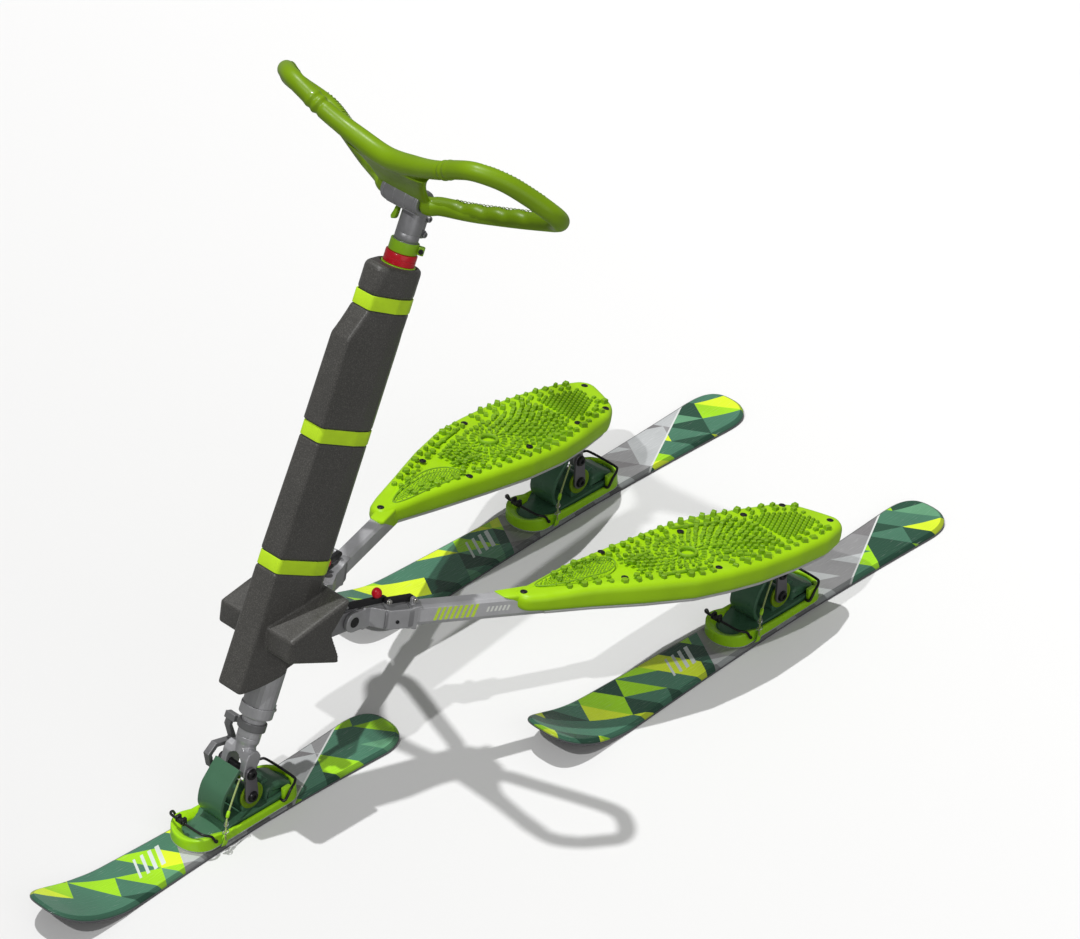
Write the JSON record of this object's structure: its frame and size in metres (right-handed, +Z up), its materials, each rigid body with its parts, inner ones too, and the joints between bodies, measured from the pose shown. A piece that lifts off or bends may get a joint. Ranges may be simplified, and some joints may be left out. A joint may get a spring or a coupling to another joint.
{
  "type": "ski trike",
  "caption": "Stand-up snow trike: steered column on a short front ski, two folding arms with foot decks on long rear skis.",
  "frame": {"origin": "on the snow, under the middle of the bounding box", "axes": "-Y is forwards, +Z is up, +X is the rider's left"},
  "size_m": [0.674, 1.858, 1.1715],
  "materials": {
    "anodised_grey": "satin, bead-blasted grey",
    "tube_grey": "satin anodised",
    "lime_plastic": "satin moulded lime",
    "foam": "closed-cell foam skin, matte",
    "strap_lime": "woven strap",
    "pine_plastic": "satin moulded dark green",
    "binding_lime": "glossy moulded yellow-lime",
    "red_plastic": "glossy red",
    "black_steel": "black oxide",
    "bush_brass": "sintered bush",
    "ski_laminate": null,
    "cord": "thin braided cord"
  },
  "bodies": {
    "frame": {"head_tube": "anodised_grey", "crown": "anodised_grey", "lower_collar": "anodised_grey", "lower_bush": "bush_brass", "upper_bush": "bush_brass", "column_pad": "foam", "crown_pad": "foam", "pad_strap_lower": "strap_lime", "pad_strap_middle": "strap_lime", "pad_strap_upper": "strap_lime", "headset_cap": "red_plastic", "seal_ring": "lime_plastic"},
    "steering": {"steering_tube": "tube_grey", "fork_foot": "anodised_grey", "stop_arm": "black_steel", "stem_clamp": "lime_plastic", "pivot_bolt_front": "black_steel"},
    "stem": {"stem": "anodised_grey", "bar_clamp": "anodised_grey", "handlebar": "lime_plastic"},
    "quick_lever": {"quick_lever": "lime_plastic"},
    "ski_front": {"ski_front": "ski_laminate", "binding_plate_front": "binding_lime", "boot_adapter_front": "pine_plastic", "ski_link_front": "anodised_grey", "leash_front": "cord"},
    "toe_bail_front": {"toe_bail_front": "black_steel"},
    "heel_bail_front": {"heel_bail_front": "black_steel"},
    "pivot_block_left": {"pivot_block_left": "anodised_grey"},
    "arm_left": {"arm_frame_left": "tube_grey", "arm_knuckle_left": "anodised_grey", "fold_pin_left": "lime_plastic", "deck_left": "lime_plastic", "rear_foot_left": "anodised_grey", "pivot_bolt_left": "black_steel"},
    "latch_front_left": {"latch_link_front_left": "black_steel"},
    "latch_rear_left": {"latch_link_rear_left": "black_steel"},
    "ski_left": {"ski_left": "ski_laminate", "binding_plate_left": "binding_lime", "boot_adapter_left": "pine_plastic", "ski_link_left": "anodised_grey", "leash_left": "cord"},
    "toe_bail_left": {"toe_bail_left": "black_steel"},
    "heel_bail_left": {"heel_bail_left": "black_steel"},
    "pivot_block_right": {"pivot_block_right": "anodised_grey"},
    "arm_right": {"arm_frame_right": "tube_grey", "arm_knuckle_right": "anodised_grey", "fold_pin_right": "lime_plastic", "deck_right": "lime_plastic", "rear_foot_right": "anodised_grey", "pivot_bolt_right": "black_steel"},
    "latch_front_right": {"latch_link_front_right": "black_steel"},
    "latch_rear_right": {"latch_link_rear_right": "black_steel"},
    "ski_right": {"ski_right": "ski_laminate", "binding_plate_right": "binding_lime", "boot_adapter_right": "pine_plastic", "ski_link_right": "anodised_grey", "leash_right": "cord"},
    "toe_bail_right": {"toe_bail_right": "black_steel"},
    "heel_bail_right": {"heel_bail_right": "black_steel"}
  },
  "joints": [
    {"name": "steering", "type": "hinge", "parent": "frame", "child": "steering", "pos_m": [0, -0.50642, 0.1], "axis": [0, 0.4289, 0.9033], "range_deg": [-40, 40]},
    {"name": "stem_height", "type": "slide", "parent": "steering", "child": "stem", "axis": [0, 0.4289, 0.9033], "range_m": [0, 0.1]},
    {"name": "quick_lever", "type": "hinge", "parent": "stem", "child": "quick_lever", "pos_m": [-0.0215, -0.10644, 0.97501], "axis": [0, 0.9033, -0.4289], "range_deg": [0, 80]},
    {"name": "ski_pitch_front", "type": "hinge", "parent": "steering", "child": "ski_front", "pos_m": [0, -0.5095, 0.103], "axis": [1, 0, 0], "range_deg": [-12, 12]},
    {"name": "toe_bail_front", "type": "hinge", "parent": "ski_front", "child": "toe_bail_front", "pos_m": [0, -0.6, 0.0245], "axis": [1, 0, 0], "range_deg": [-60, 15]},
    {"name": "heel_bail_front", "type": "hinge", "parent": "ski_front", "child": "heel_bail_front", "pos_m": [0, -0.455, 0.0245], "axis": [1, 0, 0], "range_deg": [-5, 75]},
    {"name": "camber_left", "type": "hinge", "parent": "frame", "child": "pivot_block_left", "pos_m": [0.045, -0.39722, 0.32999], "axis": [1, 0, 0], "range_deg": [-12, 12]},
    {"name": "fold_left", "type": "hinge", "parent": "pivot_block_left", "child": "arm_left", "pos_m": [0.045, -0.3, 0.311], "axis": [1, 0, 0], "range_deg": [0, 50]},
    {"name": "latch_front_left", "type": "hinge", "parent": "pivot_block_left", "child": "latch_front_left", "pos_m": [0.045, -0.308, 0.3405], "axis": [1, 0, 0], "range_deg": [0, 80]},
    {"name": "latch_rear_left", "type": "hinge", "parent": "arm_left", "child": "latch_rear_left", "pos_m": [0.045, -0.199, 0.3215], "axis": [1, 0, 0], "range_deg": [-56, 0]},
    {"name": "ski_pitch_left", "type": "hinge", "parent": "arm_left", "child": "ski_left", "pos_m": [0.241, 0.496, 0.103], "axis": [1, 0, 0], "range_deg": [-10, 12]},
    {"name": "toe_bail_left", "type": "hinge", "parent": "ski_left", "child": "toe_bail_left", "pos_m": [0.241, 0.4055, 0.0245], "axis": [1, 0, 0], "range_deg": [-60, 15]},
    {"name": "heel_bail_left", "type": "hinge", "parent": "ski_left", "child": "heel_bail_left", "pos_m": [0.241, 0.5505, 0.0245], "axis": [1, 0, 0], "range_deg": [-5, 75]},
    {"name": "camber_right", "type": "hinge", "parent": "frame", "child": "pivot_block_right", "pos_m": [-0.045, -0.39722, 0.32999], "axis": [1, 0, 0], "range_deg": [-12, 12]},
    {"name": "fold_right", "type": "hinge", "parent": "pivot_block_right", "child": "arm_right", "pos_m": [-0.045, -0.3, 0.311], "axis": [1, 0, 0], "range_deg": [0, 50]},
    {"name": "latch_front_right", "type": "hinge", "parent": "pivot_block_right", "child": "latch_front_right", "pos_m": [-0.045, -0.308, 0.3405], "axis": [1, 0, 0], "range_deg": [0, 80]},
    {"name": "latch_rear_right", "type": "hinge", "parent": "arm_right", "child": "latch_rear_right", "pos_m": [-0.045, -0.199, 0.3215], "axis": [1, 0, 0], "range_deg": [-56, 0]},
    {"name": "ski_pitch_right", "type": "hinge", "parent": "arm_right", "child": "ski_right", "pos_m": [-0.241, 0.496, 0.103], "axis": [1, 0, 0], "range_deg": [-10, 12]},
    {"name": "toe_bail_right", "type": "hinge", "parent": "ski_right", "child": "toe_bail_right", "pos_m": [-0.241, 0.4055, 0.0245], "axis": [1, 0, 0], "range_deg": [-60, 15]},
    {"name": "heel_bail_right", "type": "hinge", "parent": "ski_right", "child": "heel_bail_right", "pos_m": [-0.241, 0.5505, 0.0245], "axis": [1, 0, 0], "range_deg": [-5, 75]}
  ],
  "couplings": [
    {"joint": "camber_right", "follows": "camber_left", "ratio": -1},
    {"joint": "latch_front_left", "follows": "fold_left", "ratio": 1.55},
    {"joint": "latch_rear_left", "follows": "fold_left", "ratio": -1.06},
    {"joint": "latch_front_right", "follows": "fold_right", "ratio": 1.55},
    {"joint": "latch_rear_right", "follows": "fold_right", "ratio": -1.06}
  ]
}
